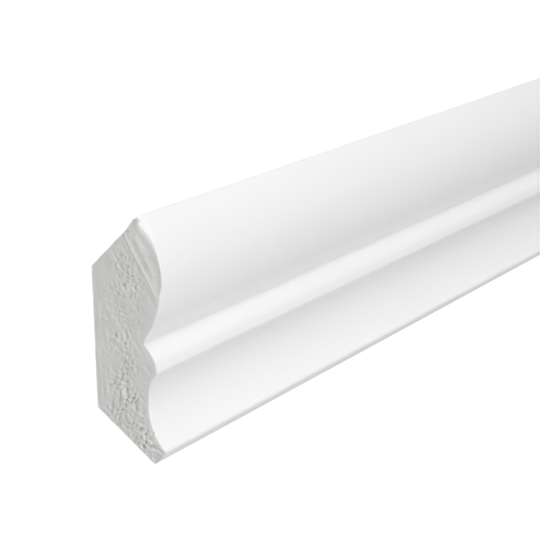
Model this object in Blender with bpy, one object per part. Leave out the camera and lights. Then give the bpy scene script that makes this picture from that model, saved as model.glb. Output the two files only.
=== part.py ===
"""A length of bed moulding for the corner between a wall and a ceiling.

One straight piece, cut square at both ends. Its face has, from the top down, a small nose, a broad ovolo, a
splay running into a quirk, a bead and a cove that ends at the lower nose. Behind it are a flat back and two
bevels at 45 degrees, square to each other, that lie on the ceiling and on the wall.

The length runs along X and the flat back faces +Y with the origin at its centre. The moulded face looks
towards -Y and the ovolo is uppermost. Lengths are in metres.
"""

import math

import bmesh
import bpy
from mathutils import Vector

MM = 0.001

# The piece and its back
LENGTH = 400 * MM
BACK_FLAT = 29.0 * MM
CEILING_BEVEL = 10.2 * MM  # rise, and depth, of the upper bevel
WALL_BEVEL = 11.8 * MM  # drop, and depth, of the lower bevel

# The two noses, beyond the outer edge of each bevel
CEILING_NOSE = 0.6 * MM
WALL_NOSE_DEPTH = 2.5 * MM
WALL_NOSE_RISE = 2.3 * MM

# Members of the face: how high each one is
COVE_HEIGHT = 14.85 * MM
BEAD_RETURN_HEIGHT = 1.5 * MM
BEAD_FRONT_HEIGHT = 2.25 * MM
BEAD_SLOPE_HEIGHT = 3.75 * MM
SPLAY_HEIGHT = 3.3 * MM

# How far the corners between the members lie behind the lower nose
COVE_HEAD_SETBACK = 2.45 * MM
BEAD_CORNER_SETBACK = 1.3 * MM
BEAD_SHOULDER_SETBACK = 1.55 * MM
QUIRK_SETBACK = 3.85 * MM
OVOLO_FOOT_SETBACK = 1.95 * MM

# How far the two curves rise over, or sink under, the straight line between their ends
OVOLO_BULGE = 3.0 * MM
COVE_HOLLOW = 1.95 * MM

# Rounding of the corners
ARRIS_RADIUS = 0.3 * MM
BEAD_SHOULDER_RADIUS = 2.2 * MM
BEAD_CORNER_RADIUS = 0.55 * MM
SHARP = 0.0

# Fineness of the curves
OVOLO_STEPS = 18
COVE_STEPS = 14
CORNER_STEPS = 4
CORNER_SHARE = 0.45  # the most of a side that one rounded corner may take
SMOOTH_BELOW = math.radians(28)

WHITE = (0.88, 0.88, 0.87, 1.0)
ROUGHNESS = 0.45


def arc(start, end, bulge, steps):
    """Points between start and end on the circle that stands off their chord by bulge, to its left."""
    chord = end - start
    left = Vector((-chord.y, chord.x)).normalized()
    half = chord.length / 2
    radius = (half * half + bulge * bulge) / (2 * bulge)
    centre = (start + end) / 2 + left * (bulge - radius)
    spoke = start - centre
    sweep = (end - centre).angle_signed(spoke)
    points = []
    for step in range(1, steps):
        turn = sweep * step / steps
        across = Vector((-spoke.y, spoke.x))
        points.append(centre + spoke * math.cos(turn) + across * math.sin(turn))
    return points


def rounded(corner, before, after, radius):
    """The points that replace a corner: a round of this radius, or less where its sides are too short."""
    back = before - corner
    ahead = after - corner
    half_angle = back.angle(ahead) / 2
    reach = radius / math.tan(half_angle)
    reach = min(reach, CORNER_SHARE * back.length, CORNER_SHARE * ahead.length)
    start = corner + back.normalized() * reach
    end = corner + ahead.normalized() * reach
    points = []
    for step in range(CORNER_STEPS + 1):
        t = step / CORNER_STEPS
        pull = 2 * t * (1 - t) * math.sin(half_angle)  # this weight on the corner makes the curve a circle
        share = (1 - t) ** 2 + pull + t * t
        points.append((start * (1 - t) ** 2 + corner * pull + end * t * t) / share)
    return points


def section():
    """The outline as (depth in front of the back, height over the back's centre), round from the back's top."""
    back_top = BACK_FLAT / 2
    back_bottom = -BACK_FLAT / 2
    ceiling_edge = Vector((CEILING_BEVEL, back_top + CEILING_BEVEL))
    ovolo_head = ceiling_edge + Vector((CEILING_NOSE, -CEILING_NOSE))
    wall_edge = Vector((WALL_BEVEL, back_bottom - WALL_BEVEL))
    nose_front = wall_edge + Vector((WALL_NOSE_DEPTH, WALL_NOSE_RISE))
    cove_head = nose_front + Vector((-COVE_HEAD_SETBACK, COVE_HEIGHT))
    bead_corner = Vector((nose_front.x - BEAD_CORNER_SETBACK, cove_head.y + BEAD_RETURN_HEIGHT))
    bead_shoulder = Vector((nose_front.x - BEAD_SHOULDER_SETBACK, bead_corner.y + BEAD_FRONT_HEIGHT))
    quirk = Vector((nose_front.x - QUIRK_SETBACK, bead_shoulder.y + BEAD_SLOPE_HEIGHT))
    ovolo_foot = Vector((nose_front.x - OVOLO_FOOT_SETBACK, quirk.y + SPLAY_HEIGHT))

    corners = [
        (Vector((0.0, back_top)), ARRIS_RADIUS),
        (ceiling_edge, ARRIS_RADIUS),
        (ovolo_head, SHARP),
    ]
    corners += [(point, SHARP) for point in arc(ovolo_head, ovolo_foot, OVOLO_BULGE, OVOLO_STEPS)]
    corners += [
        (ovolo_foot, SHARP),
        (quirk, SHARP),
        (bead_shoulder, BEAD_SHOULDER_RADIUS),
        (bead_corner, BEAD_CORNER_RADIUS),
        (cove_head, ARRIS_RADIUS),
    ]
    corners += [(point, SHARP) for point in arc(cove_head, nose_front, -COVE_HOLLOW, COVE_STEPS)]
    corners += [
        (nose_front, ARRIS_RADIUS),
        (wall_edge, ARRIS_RADIUS),
        (Vector((0.0, back_bottom)), ARRIS_RADIUS),
    ]

    outline = []
    for index, (corner, radius) in enumerate(corners):
        before = corners[index - 1][0]
        after = corners[(index + 1) % len(corners)][0]
        outline += rounded(corner, before, after, radius) if radius else [corner]
    return outline


def white_finish():
    """Satin white, the same right through the piece."""
    material = bpy.data.materials.new("white_moulding")
    material.use_nodes = True
    shader = material.node_tree.nodes["Principled BSDF"]
    shader.inputs["Base Color"].default_value = WHITE
    shader.inputs["Roughness"].default_value = ROUGHNESS
    shader.inputs["Metallic"].default_value = 0.0
    material.diffuse_color = WHITE
    return material


def bed_moulding():
    """The section drawn at the left end and carried straight to the right end."""
    body = bmesh.new()
    left_end = [body.verts.new((-LENGTH / 2, -depth, height)) for depth, height in section()]
    cap = body.faces.new(left_end)
    run = bmesh.ops.extrude_face_region(body, geom=[cap])
    right_end = [item for item in run["geom"] if isinstance(item, bmesh.types.BMVert)]
    bmesh.ops.translate(body, vec=(LENGTH, 0.0, 0.0), verts=right_end)
    bmesh.ops.recalc_face_normals(body, faces=body.faces)
    mesh = bpy.data.meshes.new("bed_moulding")
    body.to_mesh(mesh)
    body.free()
    mesh.shade_smooth()
    mesh.set_sharp_from_angle(angle=SMOOTH_BELOW)
    mesh.materials.append(white_finish())
    piece = bpy.data.objects.new("bed_moulding", mesh)
    bpy.context.scene.collection.objects.link(piece)
    return piece


def main():
    for item in list(bpy.data.objects):
        bpy.data.objects.remove(item, do_unlink=True)
    bed_moulding()


main()
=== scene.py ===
"""A length of white bed moulding, sawn square at both ends, and the studio that it is shown in.

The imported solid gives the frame: the length runs along X, the flat back faces +Y with the origin at its
centre, and the ovolo is uppermost. The section made here is the solid's to within about 0.2 mm: the splay is
slightly hollow, the slope over the bead slightly full, and the bead's corners and the lower nose are softer.
Rounded rims and rough sawn ends are added, and some wear round the top corner of the left end.
"""

import math

import bpy
import numpy as np
from bpy.props import FloatProperty, FloatVectorProperty, PointerProperty
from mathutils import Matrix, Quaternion, Vector


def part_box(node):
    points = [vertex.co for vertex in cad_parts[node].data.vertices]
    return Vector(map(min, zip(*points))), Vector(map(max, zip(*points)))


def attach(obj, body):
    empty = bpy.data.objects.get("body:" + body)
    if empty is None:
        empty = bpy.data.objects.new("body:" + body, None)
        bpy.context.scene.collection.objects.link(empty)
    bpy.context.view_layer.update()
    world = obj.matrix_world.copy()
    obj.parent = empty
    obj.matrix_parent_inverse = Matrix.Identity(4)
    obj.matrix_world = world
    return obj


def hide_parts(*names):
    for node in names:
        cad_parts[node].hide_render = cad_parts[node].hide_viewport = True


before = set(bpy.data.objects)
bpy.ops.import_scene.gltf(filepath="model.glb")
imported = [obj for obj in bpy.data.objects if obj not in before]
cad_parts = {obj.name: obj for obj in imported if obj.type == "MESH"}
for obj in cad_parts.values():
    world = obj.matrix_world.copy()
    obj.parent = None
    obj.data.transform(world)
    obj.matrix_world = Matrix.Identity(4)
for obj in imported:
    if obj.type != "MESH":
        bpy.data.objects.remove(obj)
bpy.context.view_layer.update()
NODE = "bed_moulding"
NODE_LOW, NODE_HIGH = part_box(NODE)

bl_info = {
    "name": "Bed Moulding",
    "version": (1, 0, 0),
    "blender": (4, 5, 0),
    "location": "View3D > Sidebar > Moulding",
    "description": "Makes a sawn length of white bed moulding and the studio that it is shown in",
    "category": "Add Mesh",
}

MM = 0.001

# Fineness of the section and of the mesh
ARC_STEPS = 160
CORNER_STEPS = 16
CORNER_SHARE = 0.45  # the most of a side that one rounded corner may take
LEVELS = 360  # heights at which the outline is cut
CELLS_ACROSS = 94  # cells from the back to the face on a sawn end
RIM_STEPS = 6
SAWN_RIM_STEPS = 4  # how many of them, from the end, are sawn rather than skin
NEAR_STATIONS = (2.3, 3.1, 4.2, 5.8, 8.2, 12.0)  # millimetres from either end
MIDDLE_STATIONS = 9
MIDDLE_MARGIN = 25.0  # millimetres from either end to the nearest middle station

# Random fields
LATTICE = 128  # a field repeats after this many cells
LEFT_SEED = 11
RIGHT_SEED = 57

# Places on a sawn end, in millimetres: depth in front of the back, height over its centre, then a size. The
# ridges, nicks and pits are on the left end only.
LONG_RIDGE = ((7.2, 20.9), (13.5, 7.9))
SHORT_RIDGE = ((9.6, 19.4), (13.0, 12.4))
EDGE_NICKS = ((7.8, 21.4, 0.42), (6.9, 20.6, 0.35), (5.3, 19.2, 0.38))
PITS = (
    (8.6, -6.5, 0.42),
    (6.0, -5.3, 0.35),
    (6.2, -10.5, 0.42),
    (6.8, -13.7, 0.35),
    (7.7, -14.6, 0.38),
)
TORN_PATCHES = (
    (7.4, 14.8, 2.8),
    (8.6, 10.8, 2.2),
    (5.2, 8.4, 2.3),
    (7.4, 5.6, 2.0),
    (3.4, 3.8, 1.7),
    (7.6, 2.2, 2.0),
    (4.6, -1.4, 2.3),
    (6.6, -5.0, 2.9),
    (5.2, -9.6, 2.4),
    (6.8, -13.2, 2.4),
    (3.2, -15.0, 1.6),
    (5.6, -18.2, 1.6),
    (7.8, -17.2, 2.2),
    (10.0, -20.8, 2.2),
    (9.2, -22.4, 1.6),
)
TIP = (11.9, -24.2, 2.6)

# How far the saw's streaks and the torn rows lean out of the upright
STREAK_LEAN = math.radians(27)
LOW_STREAK_LEAN = math.radians(37)
TIP_LEAN = math.radians(48)
LOW_ROW_LEAN = math.radians(16)
ROW_SPACING = 1.6  # from one torn row to the next, in millimetres
BUMP_SPACING = 2.0  # from one bump to the next along a row

# Relief of a sawn end, in millimetres
STREAK_RELIEF = 0.085
THREAD_RELIEF = 0.04
ROW_RELIEF = 0.12
TORN_RELIEF = 0.17
PIT_RELIEF = 0.75
GRAIN_RELIEF = 0.012
WAVE_RELIEF = 0.05
TIP_RELIEF = 0.3
LONG_RIDGE_RELIEF = 0.16
LONG_RIDGE_WIDTH = 0.27
SHORT_RIDGE_RELIEF = 0.11
SHORT_RIDGE_WIDTH = 0.45
FALL_IN_FRONT = 0.08  # fall of the surface in front of the long ridge, for each millimetre from it
FALL_REACH = 5.0
FACE_FADE = 1.5  # the relief grows weaker this near to the moulded face
MARK_DEPTH_SHARE = 0.7  # depth of a nick or pit over its size

# Rounding of the rims
RIM_BEHIND = 0.4  # radius along the back and the bevels over that along the face
RIM_LIMIT = 0.65  # the most that the radius may be of the outline's own
LIMIT_SPREAD = 8  # neighbours on either side that share the smallest limit
RIM_SMOOTHING = 6  # neighbours on either side that the radius is averaged over
NICK_RIM = 0.2  # extra radius at a nick, in millimetres
NICK_REACH = 0.5
WIDEST_RIM = (11.8, 21.6, 5.0)  # place and reach, near the top corner
WIDEST_RIM_EXTRA = 1.1  # extra radius there, in millimetres

# Wear on the upper bevel beside the left end, in millimetres: depths, and how much is gone at each
WEAR_DEPTHS = (0.0, 2.0, 3.5, 5.0, 6.1, 7.4, 8.3, 9.0, 10.0)
WEAR_LOSSES = (0.05, 0.1, 0.2, 0.17, 0.28, 0.33, 0.3, 0.15, 0.0)
WEAR_REACH = 6.0  # along the run
BEVEL_FOOT = 14.0  # the upper bevel lies over this height

# The blunted top corner of that end, in millimetres
TOP_CORNER = (10.2, 24.7, 4.2)  # place and reach
BLUNTING = 1.2  # how far it is pushed down the bevel
BLUNT_RUN = 1.5  # reach along the run

# Directions in the section, as (depth, height)
INTO_BEVEL = np.array((1.0, -1.0)) / math.sqrt(2)
DOWN_BEVEL = np.array((-1.0, -1.0)) / math.sqrt(2)

# Sockets of a Mix node that mixes colours
MIX_FACTOR = 0
MIX_FIRST = 6
MIX_SECOND = 7
MIX_RESULT = 2

# The studio
FLOOR_REACH = 30.0
SEEN_WHITE = 1.05  # strength of the background as the camera sees it, so that it comes out plain white
LIGHTS_AIM = Vector((-0.05, 0.0, 0.0))
SENSOR_WIDTH = 36.0


def moulding_length(name, description, millimetres):
    """A length property of the section, given in millimetres."""
    return FloatProperty(
        name=name, description=description, default=millimetres * MM, min=0.0, unit="LENGTH", precision=4
    )


def surface_colour(name, description, value):
    """A colour property."""
    return FloatVectorProperty(
        name=name, description=description, default=value, min=0.0, max=1.0, subtype="COLOR"
    )


def light_power(name, description, watts):
    """A property for the power of a light."""
    return FloatProperty(name=name, description=description, default=watts, min=0.0, unit="POWER")


class MouldingSettings(bpy.types.PropertyGroup):
    """Sizes of the section, roundings of its corners and the colours of the piece"""

    length: FloatProperty(
        name="Length",
        description="Length of the piece from one sawn end to the other",
        default=NODE_HIGH.x - NODE_LOW.x,
        min=0.06,
        unit="LENGTH",
    )
    back_flat: moulding_length("Back flat", "Height of the flat back between the two bevels", 29.0)
    ceiling_bevel: moulding_length("Ceiling bevel", "Rise, and depth, of the upper bevel", 10.2)
    wall_bevel: moulding_length("Wall bevel", "Drop, and depth, of the lower bevel", 11.8)
    ceiling_nose: moulding_length("Ceiling nose", "Depth, and drop, of the facet over the ovolo", 0.6)
    wall_nose_depth: moulding_length("Wall nose depth", "Depth of the facet under the cove", 2.5)
    wall_nose_rise: moulding_length("Wall nose rise", "Height of the facet under the cove", 2.3)
    cove_height: moulding_length("Cove height", "Height of the cove", 14.85)
    bead_return_height: moulding_length("Bead return height", "Height of the slope under the bead", 1.5)
    bead_front_height: moulding_length("Bead front height", "Height of the bead's upright front", 2.25)
    bead_slope_height: moulding_length("Bead slope height", "Height of the slope over the bead", 3.75)
    splay_height: moulding_length("Splay height", "Height of the splay between ovolo and quirk", 3.3)
    cove_head_setback: moulding_length(
        "Cove head setback", "How far the cove's head lies behind the lower nose", 2.45
    )
    bead_corner_setback: moulding_length(
        "Bead corner setback", "How far the bead's lower corner lies behind the lower nose", 1.3
    )
    bead_shoulder_setback: moulding_length(
        "Bead shoulder setback", "How far the bead's shoulder lies behind the lower nose", 1.55
    )
    quirk_setback: moulding_length("Quirk setback", "How far the quirk lies behind the lower nose", 3.85)
    ovolo_foot_setback: moulding_length(
        "Ovolo foot setback", "How far the ovolo's foot lies behind the lower nose", 1.95
    )
    ovolo_bulge: moulding_length("Ovolo bulge", "How far the ovolo stands over its chord", 3.0)
    splay_hollow: moulding_length("Splay hollow", "How far the splay sinks under its chord", 0.2)
    bead_bulge: moulding_length("Bead bulge", "How far the slope over the bead stands over its chord", 0.12)
    cove_hollow: moulding_length("Cove hollow", "How far the cove sinks under its chord", 1.95)
    arris_radius: moulding_length("Arris radius", "Rounding of the sharp edges", 0.3)
    nose_radius: moulding_length("Nose radius", "Rounding between the cove and the lower nose", 0.7)
    bead_shoulder_radius: moulding_length("Bead shoulder radius", "Rounding of the bead's shoulder", 4.0)
    bead_corner_radius: moulding_length("Bead corner radius", "Rounding of the bead's lower corner", 0.9)
    rim_radius: moulding_length("Rim radius", "Rounding between a sawn end and the skin", 0.5)
    skin_colour: surface_colour("Skin", "Colour of the satin white skin", (0.88, 0.88, 0.878))
    sawn_colour: surface_colour(
        "Sawn end", "Colour of the material laid open by the saw", (0.86, 0.86, 0.842)
    )
    skin_roughness: FloatProperty(
        name="Skin roughness",
        description="Roughness of the satin skin",
        default=0.32,
        min=0.0,
        max=1.0,
        subtype="FACTOR",
    )


class StudioSettings(bpy.types.PropertyGroup):
    """Floor, light and camera of the studio"""

    floor_drop: FloatProperty(
        name="Floor drop",
        description="How far the floor lies under the back's centre",
        default=1.0,
        unit="LENGTH",
    )
    floor_colour: surface_colour("Floor", "Colour of the floor", (0.95, 0.95, 0.95))
    surroundings: FloatProperty(
        name="Surroundings",
        description="Mean brightness of the white room round the piece",
        default=0.468,
        min=0.0,
    )
    surroundings_change: FloatVectorProperty(
        name="Change of the surroundings",
        description="How much brighter the room is in the direction of each axis than at its mean",
        default=(0.268, 0.15, 0.05),
        subtype="XYZ",
    )
    camera_side_power: light_power(
        "Camera side light", "Power of the large soft box beside the camera", 13.3
    )
    overhead_power: light_power("Overhead light", "Power of the soft box over the front", 7.9)
    face_power: light_power("Face light", "Power of the small soft box over the face", 2.41)
    low_power: light_power("Low light", "Power of the soft box under the front", 3.9)
    low_side_power: light_power("Low side light", "Power of the small soft box under the camera", 2.69)
    back_power: light_power("Back light", "Power of the large soft box behind the piece", 7.0)
    camera_place: FloatVectorProperty(
        name="Camera place",
        description="Where the camera stands",
        default=(-0.94288, -0.25938, 0.10254),
        subtype="TRANSLATION",
        unit="LENGTH",
    )
    camera_heading: FloatProperty(
        name="Camera heading",
        description="Turn of the view from +X towards +Y",
        default=math.radians(16.605),
        unit="ROTATION",
    )
    camera_drop: FloatProperty(
        name="Camera drop",
        description="How far the view looks down",
        default=math.radians(6.558),
        unit="ROTATION",
    )
    camera_roll: FloatProperty(
        name="Camera roll",
        description="Turn of the camera about its view",
        default=math.radians(-2.297),
        unit="ROTATION",
    )
    lens: FloatProperty(
        name="Lens", description="Focal length on a 36 mm sensor", default=260.0, min=1.0, unit="CAMERA"
    )


def arc(start, end, bulge):
    """The circle between two points that stands off their chord by bulge, to its left.

    Its radius is (half chord squared + bulge squared) / (2 bulge). The first spoke is turned, in even steps,
    through four times the angle whose tangent is bulge / half chord.
    """
    chord = end - start
    half = np.hypot(*chord) / 2
    left = np.array((-chord[1], chord[0])) / (2 * half)
    radius = (half * half + bulge * bulge) / (2 * bulge)
    centre = (start + end) / 2 + left * (bulge - radius)
    spoke = start - centre
    turn = -4 * math.atan(bulge / half) * np.linspace(0, 1, ARC_STEPS + 1)[1:-1]
    return np.column_stack(
        (
            centre[0] + spoke[0] * np.cos(turn) - spoke[1] * np.sin(turn),
            centre[1] + spoke[0] * np.sin(turn) + spoke[1] * np.cos(turn),
        )
    )


def rounded(corner, before, after, radius):
    """The round that replaces a corner.

    It starts and ends radius / tan(half the corner's angle) from the corner, or a share of the shorter side.
    Between, it is the quadratic curve whose weight on the corner, the sine of half the angle, makes it round.
    """
    back = before - corner
    ahead = after - corner
    back_length = np.hypot(*back)
    ahead_length = np.hypot(*ahead)
    half_angle = math.acos(np.dot(back, ahead) / (back_length * ahead_length)) / 2
    reach = min(radius / math.tan(half_angle), CORNER_SHARE * back_length, CORNER_SHARE * ahead_length)
    start = corner + back * reach / back_length
    end = corner + ahead * reach / ahead_length
    t = np.linspace(0, 1, CORNER_STEPS + 1)[:, None]
    pull = 2 * t * (1 - t) * math.sin(half_angle)
    return (start * (1 - t) ** 2 + corner * pull + end * t**2) / ((1 - t) ** 2 + pull + t**2)


def section(sizes):
    """The outline as (depth in front of the back, height over its centre), from the back's top over the face.

    The ovolo, the splay and the cove are circles, the last up to an eighth before its end, from where it runs
    straight into the round of the nose. The slope over the bead is a circle in its upper half, and its lower
    half is taken up by the round of the shoulder.
    """
    back_top = sizes.back_flat / 2
    back_bottom = -sizes.back_flat / 2
    ceiling_edge = np.array((sizes.ceiling_bevel, back_top + sizes.ceiling_bevel))
    ovolo_head = ceiling_edge + (sizes.ceiling_nose, -sizes.ceiling_nose)
    wall_edge = np.array((sizes.wall_bevel, back_bottom - sizes.wall_bevel))
    nose = wall_edge + (sizes.wall_nose_depth, sizes.wall_nose_rise)
    cove_head = nose + (-sizes.cove_head_setback, sizes.cove_height)
    bead_corner = np.array((nose[0] - sizes.bead_corner_setback, cove_head[1] + sizes.bead_return_height))
    shoulder = np.array((nose[0] - sizes.bead_shoulder_setback, bead_corner[1] + sizes.bead_front_height))
    quirk = np.array((nose[0] - sizes.quirk_setback, shoulder[1] + sizes.bead_slope_height))
    ovolo_foot = np.array((nose[0] - sizes.ovolo_foot_setback, quirk[1] + sizes.splay_height))
    top_of_back = np.array((0.0, back_top))
    foot_of_back = np.array((0.0, back_bottom))
    ovolo = arc(ovolo_head, ovolo_foot, sizes.ovolo_bulge)
    splay = arc(ovolo_foot, quirk, -sizes.splay_hollow)
    slope = arc(quirk, shoulder, sizes.bead_bulge)[: ARC_STEPS // 2]
    cove = arc(cove_head, nose, -sizes.cove_hollow)[: ARC_STEPS * 7 // 8]
    arris = sizes.arris_radius
    return np.vstack(
        (
            rounded(top_of_back, foot_of_back, ceiling_edge, arris),
            rounded(ceiling_edge, top_of_back, ovolo_head, arris),
            ovolo_head,
            ovolo,
            ovolo_foot,
            splay,
            quirk,
            slope,
            rounded(shoulder, slope[-1], bead_corner, sizes.bead_shoulder_radius),
            rounded(bead_corner, shoulder, cove_head, sizes.bead_corner_radius),
            rounded(cove_head, bead_corner, cove[0], arris),
            cove,
            rounded(nose, cove[-1], wall_edge, sizes.nose_radius),
            rounded(wall_edge, nose, foot_of_back, arris),
            rounded(foot_of_back, wall_edge, top_of_back, arris),
        )
    )


def level_ring(outline):
    """The outline cut at common heights: up the face, then down the back.

    The heights are evenly spaced in the sum of the two sides' lengths, so they crowd where these run flat.
    """
    from_top = np.roll(outline, -int(np.argmax(outline[:, 1])), axis=0)
    lowest = int(np.argmin(from_top[:, 1]))
    face = from_top[lowest::-1]
    back = np.vstack((from_top[lowest:], from_top[:1]))
    heights = np.unique(np.concatenate((face[:, 1], back[:, 1])))
    face_depths = np.interp(heights, face[:, 1], face[:, 0])
    back_depths = np.interp(heights, back[:, 1], back[:, 0])
    rise = np.diff(heights)
    steps = np.hypot(np.diff(face_depths), rise) + np.hypot(np.diff(back_depths), rise)
    way = np.concatenate(([0.0], np.cumsum(steps)))
    levels = np.interp(np.linspace(0, way[-1], LEVELS), way, heights)
    up_face = np.column_stack((np.interp(levels, face[:, 1], face[:, 0]), levels))
    up_back = np.column_stack((np.interp(levels, back[:, 1], back[:, 0]), levels))
    return np.vstack((up_face, up_back[-2:0:-1]))


def ring_normals(ring):
    """Unit normals out of the ring: the line between a point's two neighbours, turned a quarter."""
    along = np.roll(ring, -1, axis=0) - np.roll(ring, 1, axis=0)
    along /= np.hypot(along[:, 0], along[:, 1])[:, None]
    return np.column_stack((along[:, 1], -along[:, 0]))


def field(u, v, seed):
    """A smooth random field from -1 to 1: random values on a square lattice of side 1.

    Between lattice points the values are joined by the curve 3 t squared - 2 t cubed in both directions.
    """
    table = np.random.default_rng(seed).uniform(-1, 1, (LATTICE, LATTICE))
    column = np.floor(u).astype(int)
    row = np.floor(v).astype(int)
    s = u - column
    t = v - row
    s = s * s * (3 - 2 * s)
    t = t * t * (3 - 2 * t)
    here = column % LATTICE
    beside = (column + 1) % LATTICE
    near = table[row % LATTICE, here] * (1 - s) + table[row % LATTICE, beside] * s
    far = table[(row + 1) % LATTICE, here] * (1 - s) + table[(row + 1) % LATTICE, beside] * s
    return near * (1 - t) + far * t


def leaning(depth, height, lean):
    """Coordinates across and along lines that lean out of the upright, going down and forwards.

    They are depth and height turned by the angle of the lean.
    """
    across = depth * math.cos(lean) + height * math.sin(lean)
    along = height * math.cos(lean) - depth * math.sin(lean)
    return across, along


def mound(distance, width):
    """A rounded bump of height 1: the bell curve exp(-(distance / width) squared)."""
    return np.exp(-((distance / width) ** 2))


def mound_at(depth, height, spot, width):
    """A mound of the distance to a spot, whose first two numbers are its depth and height."""
    return mound(np.hypot(depth - spot[0], height - spot[1]), width)


def segment_distance(depth, height, ends):
    """Distance to the straight line between two points, square to it, or to its nearer end."""
    start = np.array(ends[0])
    way = np.array(ends[1]) - start
    share = ((depth - start[0]) * way[0] + (height - start[1]) * way[1]) / np.dot(way, way)
    share = np.clip(share, 0, 1)
    return np.hypot(depth - start[0] - share * way[0], height - start[1] - share * way[1])


def step_up(value, low, high):
    """Rises from 0 at low to 1 at high along 3 t squared - 2 t cubed."""
    t = np.clip((value - low) / (high - low), 0, 1)
    return t * t * (3 - 2 * t)


def chatter(across, along, seed):
    """Rows of bumps and hollows from -1 to 1: the product of two cosines, each shifted by a random field."""
    shift_across = 0.45 * field(across / 1.9, along / 1.9, seed)
    shift_along = 0.6 * field(across / 1.5, along / 1.7, seed + 1)
    rows = np.cos(2 * math.pi * (across / ROW_SPACING + shift_across))
    return rows * np.cos(2 * math.pi * (along / BUMP_SPACING + shift_along))


def sawn_height(depth, height, to_face, seed):
    """Height of the sawn surface, in millimetres, over its mean plane, at places in millimetres.

    Streaks are random fields stretched along the saw's way: upright beside the back, leaning in the middle
    and more so below, and coarser bands at the tip. In the torn patches, whose edges are bell curves, stand
    rows of bumps, with pits in the deepest of their hollows and a finer random field on top. A few thin
    threads stand where a stretched field is 0. All but the tip's bands grow weaker near the moulded face.
    """
    inside = step_up(depth, 2.6, 5.0)
    below = step_up(-height, 1.0, 9.0)
    across, along = leaning(depth, height, STREAK_LEAN)
    low_across, low_along = leaning(depth, height, LOW_STREAK_LEAN)
    tip_across, tip_along = leaning(depth, height, TIP_LEAN)
    row_across, row_along = leaning(depth, height, LOW_ROW_LEAN)
    upright = field(depth / 0.5, height / 5.0, seed) + 0.5 * field(depth / 0.3, height / 1.6, seed + 10)
    middle = field(across / 0.6, along / 4.0, seed + 1) * (1 - below)
    lower = field(low_across / 0.6, low_along / 4.0, seed + 2) * below
    streaks = upright * (1 - inside) * (0.6 + 0.4 * below) + (middle + lower) * inside

    smooth = np.ones_like(depth)
    for patch in TORN_PATCHES:
        smooth *= 1 - mound_at(depth, height, patch, patch[2])
    patchy = np.clip(0.85 + 0.6 * field(depth / 1.8, height / 2.2, seed + 3), 0.15, 1.3)
    rough = (1 - smooth) * patchy * (1 + 0.35 * step_up(-height, 2.0, 14.0))
    upper_rows = chatter(across, along, seed + 4) * (1 - below)
    rows = upper_rows + chatter(row_across, row_along, seed + 14) * below
    fine = field(row_across / 0.42, row_along / 0.46, seed + 6)
    pits = np.clip(-rows - 0.55 + 0.5 * field(depth / 1.1, height / 1.1, seed + 7), 0, 1)
    grain = field(depth / 0.22, height / 0.24, seed + 8)
    waves = field(depth / 3.0, height / 4.0, seed + 9)
    threads = mound(field(across / 1.5, along / 6.0, seed + 11), 0.1) * inside
    bands = field(tip_across / 0.4, tip_along / 1.1, seed + 12) * mound_at(depth, height, TIP, TIP[2])

    surface = STREAK_RELIEF * streaks * (1 - 0.5 * rough) + THREAD_RELIEF * threads
    surface += rough * (ROW_RELIEF * rows + TORN_RELIEF * fine - PIT_RELIEF * pits)
    surface += GRAIN_RELIEF * (0.4 + rough) * grain + WAVE_RELIEF * waves
    return surface * (0.45 + 0.55 * step_up(to_face, 0.0, FACE_FADE)) + TIP_RELIEF * bands


def named_marks(depth, height):
    """Height, in millimetres, of the two ridges, the deepest pits and the hollows behind the edge's nicks.

    Across each they are bell curves. In front of the long ridge the surface falls away evenly for a while.
    """
    start = np.array(LONG_RIDGE[0])
    way = np.array(LONG_RIDGE[1]) - start
    in_front = ((height - start[1]) * way[0] - (depth - start[0]) * way[1]) / np.hypot(*way)
    from_long = segment_distance(depth, height, LONG_RIDGE)
    from_short = segment_distance(depth, height, SHORT_RIDGE)
    surface = LONG_RIDGE_RELIEF * mound(from_long, LONG_RIDGE_WIDTH)
    surface -= FALL_IN_FRONT * np.clip(in_front, 0, FALL_REACH)
    surface += SHORT_RIDGE_RELIEF * mound(from_short, SHORT_RIDGE_WIDTH)
    for mark in EDGE_NICKS + PITS:
        surface -= MARK_DEPTH_SHARE * mark[2] * mound_at(depth, height, mark, mark[2])
    return surface


def worn(ring, stations):
    """How far the outline has moved at each distance from the worn end.

    On the upper bevel it has sunk into the piece by the listed losses. Round the top corner it is pushed down
    along the bevel, by a bell curve of the distance to that corner. Along the run, too, both die away as bell
    curves.
    """
    depth, height = (ring / MM).T
    on_bevel = (height > BEVEL_FOOT) & (np.arange(len(ring)) >= LEVELS)
    loss = np.where(on_bevel, np.interp(depth, WEAR_DEPTHS, WEAR_LOSSES), 0.0) * MM
    slide = BLUNTING * MM * mound_at(depth, height, TOP_CORNER, TOP_CORNER[2])
    sunk = mound(stations / MM, WEAR_REACH)[:, None, None] * loss[None, :, None] * INTO_BEVEL
    pushed = mound(stations / MM, BLUNT_RUN)[:, None, None] * slide[None, :, None] * DOWN_BEVEL
    return sunk + pushed


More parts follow.
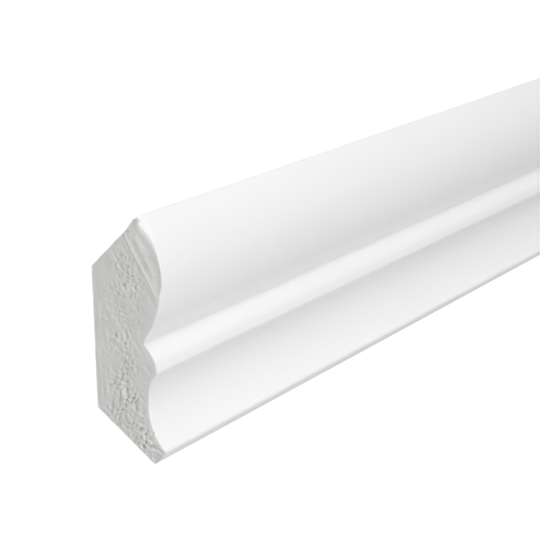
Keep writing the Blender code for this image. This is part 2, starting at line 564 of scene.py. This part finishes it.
def rim_radii(ring, normals, radius, seed, marked):
    """Radius of the rounding at each point of the ring.

    The driving radius is varied by two random fields, is smaller along the back and the bevels, grows at the
    nicks and near the top corner, and stays under a share of the outline's own radius where that bends
    outwards, so that the rim does not fold. The outline's radius is the way between two neighbours over the
    angle between their normals.
    """
    depth, height = (ring / MM).T
    wander = field(depth / 1.1, height / 1.1, seed + 20)
    fine = field(depth / 0.35, height / 0.35, seed + 21)
    on_face = np.arange(len(ring)) < LEVELS
    radii = radius * np.where(on_face, 1.0, RIM_BEHIND) * (1 + 0.35 * wander + 0.2 * fine)
    if marked:
        for nick in EDGE_NICKS:
            radii += NICK_RIM * MM * mound_at(depth, height, nick, NICK_REACH) * ~on_face
        radii += WIDEST_RIM_EXTRA * MM * mound_at(depth, height, WIDEST_RIM, WIDEST_RIM[2]) * on_face
    after = np.roll(normals, -2, axis=0)
    before = np.roll(normals, 2, axis=0)
    bend = np.arcsin(np.clip(before[:, 0] * after[:, 1] - before[:, 1] * after[:, 0], -1, 1))
    way = np.hypot(*(np.roll(ring, -2, axis=0) - np.roll(ring, 2, axis=0)).T)
    limit = np.where(bend > 1e-4, RIM_LIMIT * way / np.maximum(bend, 1e-4), 1.0)
    nearby = np.stack([np.roll(limit, shift) for shift in range(-LIMIT_SPREAD, LIMIT_SPREAD + 1)])
    radii = np.minimum(radii, nearby.min(axis=0))
    smooth = np.stack([np.roll(radii, shift) for shift in range(-RIM_SMOOTHING, RIM_SMOOTHING + 1)])
    return smooth.mean(axis=0)


def sawn_end(ring, normals, radius, seed, marked):
    """One end: the rim, its distance in from the end's plane, and the same for the points inside the edge.

    The rim is a quarter round: at an angle a, from the skin at 0 to the end at 90 degrees, a point lies
    radius (1 - cos a) inside the outline and radius (1 - sin a) in from the end. The face is ruled from the
    back to the front at every level, and its relief sinks it from there.
    """
    radii = rim_radii(ring, normals, radius, seed, marked)
    angles = np.linspace(0, math.pi / 2, RIM_STEPS + 1)[:, None]
    inset = radii * (1 - np.cos(angles))
    rim = ring[None] - normals[None] * inset[..., None]
    if marked:
        rim = rim + worn(ring, np.zeros(RIM_STEPS + 1))
    inner = rim[-1]
    levels = np.arange(LEVELS)
    share = np.linspace(0, 1, CELLS_ACROSS + 1)[None, :, None]
    at_back = inner[(2 * LEVELS - 2 - levels) % len(ring)][:, None]
    at_face = inner[levels][:, None]
    face = at_back + (at_face - at_back) * share

    depth, height = (np.vstack((face.reshape(-1, 2), inner)) / MM).T
    to_face = np.interp(height, inner[:LEVELS, 1] / MM, inner[:LEVELS, 0] / MM) - depth
    relief = sawn_height(depth, height, to_face, seed)
    if marked:
        relief += named_marks(depth, height)
    sink = (relief.max() - relief) * MM
    face_sink, rim_sink = np.split(sink, [face.shape[0] * face.shape[1]])
    face_sink = face_sink.reshape(face.shape[:2])
    rim_in = radii * (1 - np.sin(angles)) + rim_sink * np.sin(angles)
    return rim, rim_in, face[1:-1, 1:-1], face_sink[1:-1, 1:-1]


def cap_faces(first_ring, first_inner, count, outward):
    """Corners of one sawn face: squares between the levels, and fans at the lowest and the highest point."""
    levels = np.arange(LEVELS)[:, None]
    columns = np.arange(CELLS_ACROSS + 1)[None]
    grid = first_inner + (levels - 1) * (CELLS_ACROSS - 1) + columns - 1
    grid[:, 0] = first_ring + (2 * LEVELS - 2 - levels[:, 0]) % count
    grid[:, -1] = first_ring + levels[:, 0]
    grid[0] = first_ring
    grid[-1] = first_ring + LEVELS - 1
    low_left = grid[:-1, :-1]
    low_right = grid[:-1, 1:]
    high_right = grid[1:, 1:]
    high_left = grid[1:, :-1]
    squares = np.stack((low_left, low_right, high_right, high_left), axis=-1)[1:-1].reshape(-1, 4)
    lowest = np.stack((low_left[0], high_right[0], high_left[0]), axis=-1)
    highest = np.stack((low_left[-1], low_right[-1], high_left[-1]), axis=-1)
    fans = np.vstack((lowest, highest))
    if not outward:
        squares = squares[:, ::-1]
        fans = fans[:, ::-1]
    return squares, fans


def run_stations(length):
    """Places along the run where the outline is repeated: close near the ends, and evenly spaced between."""
    near = np.array(NEAR_STATIONS) * MM
    reach = length / 2 - MIDDLE_MARGIN * MM
    middle = np.linspace(-reach, reach, MIDDLE_STATIONS)
    return np.concatenate((near - length / 2, middle, length / 2 - near[::-1]))


def placed(along, outline):
    """Points in the frame, from places along the run and pairs of depth and height."""
    return np.stack((along, -outline[..., 0], outline[..., 1]), axis=-1).reshape(-1, 3)


def moulding_mesh(sizes):
    """The whole skin as one closed mesh: the left end, its rim, the run, the right rim and the right end.

    It gives the points, the squares, the triangles, which of these faces are sawn, and how deep each point
    lies under the end's highest grain.
    """
    ring = level_ring(section(sizes))
    normals = ring_normals(ring)
    count = len(ring)
    half = sizes.length / 2
    radius = sizes.rim_radius
    left_rim, left_in, left_face, left_sink = sawn_end(ring, normals, radius, LEFT_SEED, True)
    right_rim, right_in, right_face, right_sink = sawn_end(ring, normals, radius, RIGHT_SEED, False)
    stations = run_stations(sizes.length)

    run = ring[None] + worn(ring, stations + half)
    run_x = np.broadcast_to(stations[:, None], (len(stations), count))
    outlines = np.concatenate((left_rim[::-1], run, right_rim))
    along = np.concatenate((-half + left_in[::-1], run_x, half - right_in))
    left_points = placed(-half + left_sink, left_face)
    right_points = placed(half - right_sink, right_face)
    points = np.vstack((placed(along, outlines), left_points, right_points))
    ring_sinks = np.concatenate((left_in[::-1], np.zeros_like(run_x), right_in))
    sink = np.concatenate((ring_sinks.ravel(), left_sink.ravel(), right_sink.ravel()))

    rings = len(outlines)
    first = np.arange(rings - 1)[:, None] * count
    here = np.arange(count)[None]
    onward = (here + 1) % count
    sides = np.stack((first + here, first + count + here, first + count + onward, first + onward), axis=-1)
    left_inner = rings * count
    right_inner = left_inner + left_sink.size
    left_squares, left_fans = cap_faces(0, left_inner, count, True)
    right_squares, right_fans = cap_faces((rings - 1) * count, right_inner, count, False)

    squares = np.vstack((sides.reshape(-1, 4), left_squares, right_squares))
    fans = np.vstack((left_fans, right_fans))
    sawn_rows = np.zeros(rings - 1, bool)
    sawn_rows[:SAWN_RIM_STEPS] = True
    sawn_rows[-SAWN_RIM_STEPS:] = True
    sawn = np.concatenate(
        (np.repeat(sawn_rows, count), np.ones(len(left_squares) + len(right_squares) + len(fans), bool))
    )
    return points, squares, fans, sawn, sink


def new_material(name):
    """A node material with a shader wired to its output, as the material, its node tree and the shader."""
    material = bpy.data.materials.new(name)
    material.use_nodes = True
    tree = material.node_tree
    tree.nodes.clear()
    output = tree.nodes.new("ShaderNodeOutputMaterial")
    shader = tree.nodes.new("ShaderNodeBsdfPrincipled")
    tree.links.new(shader.outputs["BSDF"], output.inputs["Surface"])
    return material, tree, shader


def add_noise(tree, scale, detail, stretch):
    """A noise texture on Object coordinates, stretched by a Mapping node."""
    place = tree.nodes.new("ShaderNodeTexCoord")
    mapping = tree.nodes.new("ShaderNodeMapping")
    mapping.inputs["Scale"].default_value = stretch
    noise = tree.nodes.new("ShaderNodeTexNoise")
    noise.inputs["Scale"].default_value = scale
    noise.inputs["Detail"].default_value = detail
    tree.links.new(place.outputs["Object"], mapping.inputs["Vector"])
    tree.links.new(mapping.outputs["Vector"], noise.inputs["Vector"])
    return noise


def add_range(tree, source, low, high, from_low=0.3, from_high=0.7):
    """A Map Range node that carries source into the range low to high."""
    change = tree.nodes.new("ShaderNodeMapRange")
    change.inputs["From Min"].default_value = from_low
    change.inputs["From Max"].default_value = from_high
    change.inputs["To Min"].default_value = low
    change.inputs["To Max"].default_value = high
    tree.links.new(source, change.inputs["Value"])
    return change.outputs["Result"]


def add_bump(tree, height, distance, before=None):
    """A Bump node, on top of an earlier one where there is one."""
    bump = tree.nodes.new("ShaderNodeBump")
    bump.inputs["Strength"].default_value = 1.0
    bump.inputs["Distance"].default_value = distance
    tree.links.new(height, bump.inputs["Height"])
    if before:
        tree.links.new(before, bump.inputs["Normal"])
    return bump.outputs["Normal"]


def add_tint(tree, factor, first, second):
    """A Mix node between two colours."""
    mix = tree.nodes.new("ShaderNodeMix")
    mix.data_type = "RGBA"
    mix.inputs[MIX_FIRST].default_value = (*first, 1.0)
    mix.inputs[MIX_SECOND].default_value = (*second, 1.0)
    tree.links.new(factor, mix.inputs[MIX_FACTOR])
    return mix


def skin_material(settings):
    """Satin white skin: faint long streaks from the die, a very low orange peel and slight cloudiness."""
    material, tree, shader = new_material("satin_white_skin")
    colour = np.array(settings.skin_colour)
    clouds = add_noise(tree, 45.0, 2.0, (0.35, 1.0, 1.0))
    cloudiness = add_range(tree, clouds.outputs["Fac"], 0.0, 1.0)
    tint = add_tint(tree, cloudiness, colour * 0.993, colour * 1.004)
    tree.links.new(tint.outputs[MIX_RESULT], shader.inputs["Base Color"])
    sheen = add_noise(tree, 260.0, 3.0, (0.08, 1.0, 1.0))
    middle = settings.skin_roughness
    roughness = add_range(tree, sheen.outputs["Fac"], middle - 0.035, middle + 0.035)
    tree.links.new(roughness, shader.inputs["Roughness"])
    streaks = add_noise(tree, 900.0, 2.0, (0.012, 1.0, 1.0))
    peel = add_noise(tree, 700.0, 1.0, (0.6, 1.0, 1.0))
    lines = add_bump(tree, streaks.outputs["Fac"], 0.012 * MM)
    relief = add_bump(tree, peel.outputs["Fac"], 0.02 * MM, lines)
    tree.links.new(relief, shader.inputs["Normal"])
    return material


def sawn_material(settings):
    """The open end: dull and grainy, with small cells, and painted shade that darkens its colour in the
    deeper hollows and pits.
    """
    material, tree, shader = new_material("sawn_white_end")
    colour = np.array(settings.sawn_colour)
    shader.inputs["Roughness"].default_value = 0.92
    shader.inputs["Specular IOR Level"].default_value = 0.3
    blotches = add_noise(tree, 230.0, 3.0, (1.0, 1.0, 1.0))
    tint = add_tint(
        tree,
        add_range(tree, blotches.outputs["Fac"], 0.0, 1.0),
        colour * (0.965, 0.97, 0.96),
        colour * (1.012, 1.012, 1.01),
    )
    # Painted shade: the colour falls to 0.88 of itself in the deepest hollows, going by the sink depth.
    depth = tree.nodes.new("ShaderNodeAttribute")
    depth.attribute_name = "sink"
    hollow_shade = add_range(tree, depth.outputs["Fac"], 0.0, 1.0, 0.25, 0.75)
    hollow = add_tint(tree, hollow_shade, colour, colour * 0.88)
    tree.links.new(tint.outputs[MIX_RESULT], hollow.inputs[MIX_FIRST])
    tree.links.new(hollow.outputs[MIX_RESULT], shader.inputs["Base Color"])
    grain = add_noise(tree, 3200.0, 3.0, (1.0, 1.0, 1.0))
    cells = tree.nodes.new("ShaderNodeTexVoronoi")
    cells.inputs["Scale"].default_value = 2600.0
    place = tree.nodes.new("ShaderNodeTexCoord")
    tree.links.new(place.outputs["Object"], cells.inputs["Vector"])
    coarse = add_bump(tree, grain.outputs["Fac"], 0.045 * MM)
    relief = add_bump(tree, cells.outputs["Distance"], 0.025 * MM, coarse)
    tree.links.new(relief, shader.inputs["Normal"])
    return material


class MOULDING_OT_make_piece(bpy.types.Operator):
    """Make the length of moulding with its rounded rims and sawn ends"""

    bl_idname = "moulding.make_piece"
    bl_label = "Make Moulding"

    def execute(self, context):
        settings = context.scene.moulding_settings
        points, squares, fans, sawn, sink = moulding_mesh(settings)
        mesh = bpy.data.meshes.new("bed_moulding_finish")
        mesh.from_pydata(points.tolist(), [], squares.tolist() + fans.tolist())
        if mesh.validate():
            raise RuntimeError("the moulding's mesh has faces that Blender had to mend")
        mesh.materials.append(skin_material(settings))
        mesh.materials.append(sawn_material(settings))
        mesh.polygons.foreach_set("material_index", sawn.astype(np.int32))
        # The sink depth also drives the painted shade in the sawn ends' hollows.
        attribute = mesh.attributes.new("sink", "FLOAT", "POINT")
        attribute.data.foreach_set("value", (sink / sink.max()).astype(np.float32))
        mesh.shade_smooth()
        mesh.update()
        piece = bpy.data.objects.new("bed_moulding_finish", mesh)
        context.scene.collection.objects.link(piece)
        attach(piece, "root")
        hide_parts(NODE)
        return {"FINISHED"}


def area_light(name, place, size, power):
    """A square area light that looks from place towards the near part of the piece."""
    light = bpy.data.lights.new(name, "AREA")
    light.shape = "SQUARE"
    light.size = size
    light.energy = power
    lamp = bpy.data.objects.new(name, light)
    lamp.location = place
    lamp.rotation_mode = "QUATERNION"
    lamp.rotation_quaternion = (LIGHTS_AIM - Vector(place)).to_track_quat("-Z", "Y")
    lamp.visible_camera = False
    bpy.context.scene.collection.objects.link(lamp)


def white_room(brightness, change):
    """A world that is seen as plain white and lights the piece softly.

    Its brightness towards a direction is the mean plus that direction's dot product with the change.
    """
    world = bpy.data.worlds.new("white_room")
    world.use_nodes = True
    tree = world.node_tree
    tree.nodes.clear()
    output = tree.nodes.new("ShaderNodeOutputWorld")
    lighting = tree.nodes.new("ShaderNodeBackground")
    lighting.inputs["Color"].default_value = (1.0, 1.0, 1.0, 1.0)
    direction = tree.nodes.new("ShaderNodeTexCoord")
    share = tree.nodes.new("ShaderNodeVectorMath")
    share.operation = "DOT_PRODUCT"
    share.inputs[1].default_value = change
    total = tree.nodes.new("ShaderNodeMath")
    total.operation = "ADD"
    total.inputs[1].default_value = brightness
    tree.links.new(direction.outputs["Generated"], share.inputs[0])
    tree.links.new(share.outputs["Value"], total.inputs[0])
    tree.links.new(total.outputs["Value"], lighting.inputs["Strength"])
    seen = tree.nodes.new("ShaderNodeBackground")
    seen.inputs["Color"].default_value = (1.0, 1.0, 1.0, 1.0)
    seen.inputs["Strength"].default_value = SEEN_WHITE
    rays = tree.nodes.new("ShaderNodeLightPath")
    choice = tree.nodes.new("ShaderNodeMixShader")
    tree.links.new(rays.outputs["Is Camera Ray"], choice.inputs["Fac"])
    tree.links.new(lighting.outputs["Background"], choice.inputs[1])
    tree.links.new(seen.outputs["Background"], choice.inputs[2])
    tree.links.new(choice.outputs["Shader"], output.inputs["Surface"])
    bpy.context.scene.world = world


class MOULDING_OT_make_studio(bpy.types.Operator):
    """Make the pale floor, the soft light and the camera"""

    bl_idname = "moulding.make_studio"
    bl_label = "Make Studio"

    def execute(self, context):
        studio = context.scene.studio_settings
        corners = ((-1, -1), (1, -1), (1, 1), (-1, 1))
        points = [(x * FLOOR_REACH, y * FLOOR_REACH, -studio.floor_drop) for x, y in corners]
        mesh = bpy.data.meshes.new("studio_floor")
        mesh.from_pydata(points, [], [(0, 1, 2, 3)])
        material, tree, shader = new_material("pale_floor")
        paper = add_noise(tree, 6.0, 2.0, (1.0, 1.0, 1.0))
        colour = np.array(studio.floor_colour)
        mottling = add_range(tree, paper.outputs["Fac"], 0.0, 1.0)
        tint = add_tint(tree, mottling, colour * 0.99, colour)
        tree.links.new(tint.outputs[MIX_RESULT], shader.inputs["Base Color"])
        shader.inputs["Roughness"].default_value = 0.9
        shader.inputs["Emission Color"].default_value = (1.0, 1.0, 1.0, 1.0)
        shader.inputs["Emission Strength"].default_value = 0.6
        mesh.materials.append(material)
        floor = bpy.data.objects.new("studio_floor", mesh)
        context.scene.collection.objects.link(floor)
        floor.visible_diffuse = False
        floor.visible_glossy = False
        floor.visible_shadow = False

        white_room(studio.surroundings, studio.surroundings_change)
        area_light("camera_side_light", (-2.4, -0.9, 0.6), 1.0, studio.camera_side_power)
        area_light("overhead_light", (-0.1, -0.7, 1.5), 0.6, studio.overhead_power)
        area_light("face_light", (-0.25, -0.5, 0.8), 0.4, studio.face_power)
        area_light("low_light", (-0.2, -1.2, -0.8), 0.8, studio.low_power)
        area_light("low_side_light", (-0.8, -0.8, -0.5), 0.4, studio.low_side_power)
        area_light("back_light", (-0.1, 1.4, -0.5), 1.0, studio.back_power)

        camera = bpy.data.cameras.new("camera")
        camera.lens = studio.lens
        camera.sensor_width = SENSOR_WIDTH
        camera.clip_start = 0.05
        eye = bpy.data.objects.new("camera", camera)
        heading = studio.camera_heading
        drop = studio.camera_drop
        level = math.cos(drop)
        look = Vector((level * math.cos(heading), level * math.sin(heading), -math.sin(drop)))
        eye.location = studio.camera_place
        eye.rotation_mode = "QUATERNION"
        upright = look.to_track_quat("-Z", "Y")
        eye.rotation_quaternion = upright @ Quaternion((0, 0, 1), studio.camera_roll)
        context.scene.collection.objects.link(eye)
        context.scene.camera = eye
        context.scene.view_settings.view_transform = "Standard"
        context.scene.view_settings.look = "None"
        return {"FINISHED"}


class MOULDING_PT_sidebar(bpy.types.Panel):
    """Lists the sizes and the two operators"""

    bl_idname = "MOULDING_PT_sidebar"
    bl_label = "Bed Moulding"
    bl_space_type = "VIEW_3D"
    bl_region_type = "UI"
    bl_category = "Moulding"

    def draw(self, context):
        sizes = self.layout.box()
        for name in MouldingSettings.__annotations__:
            sizes.prop(context.scene.moulding_settings, name)
        sizes.operator(MOULDING_OT_make_piece.bl_idname)
        studio = self.layout.box()
        for name in StudioSettings.__annotations__:
            studio.prop(context.scene.studio_settings, name)
        studio.operator(MOULDING_OT_make_studio.bl_idname)


CLASSES = (
    MouldingSettings,
    StudioSettings,
    MOULDING_OT_make_piece,
    MOULDING_OT_make_studio,
    MOULDING_PT_sidebar,
)


def register():
    for item in CLASSES:
        bpy.utils.register_class(item)
    bpy.types.Scene.moulding_settings = PointerProperty(type=MouldingSettings)
    bpy.types.Scene.studio_settings = PointerProperty(type=StudioSettings)


def unregister():
    del bpy.types.Scene.studio_settings
    del bpy.types.Scene.moulding_settings
    for item in reversed(CLASSES):
        bpy.utils.unregister_class(item)


def main():
    register()
    bpy.ops.moulding.make_piece()
    bpy.ops.moulding.make_studio()


if __name__ == "__main__":
    main()
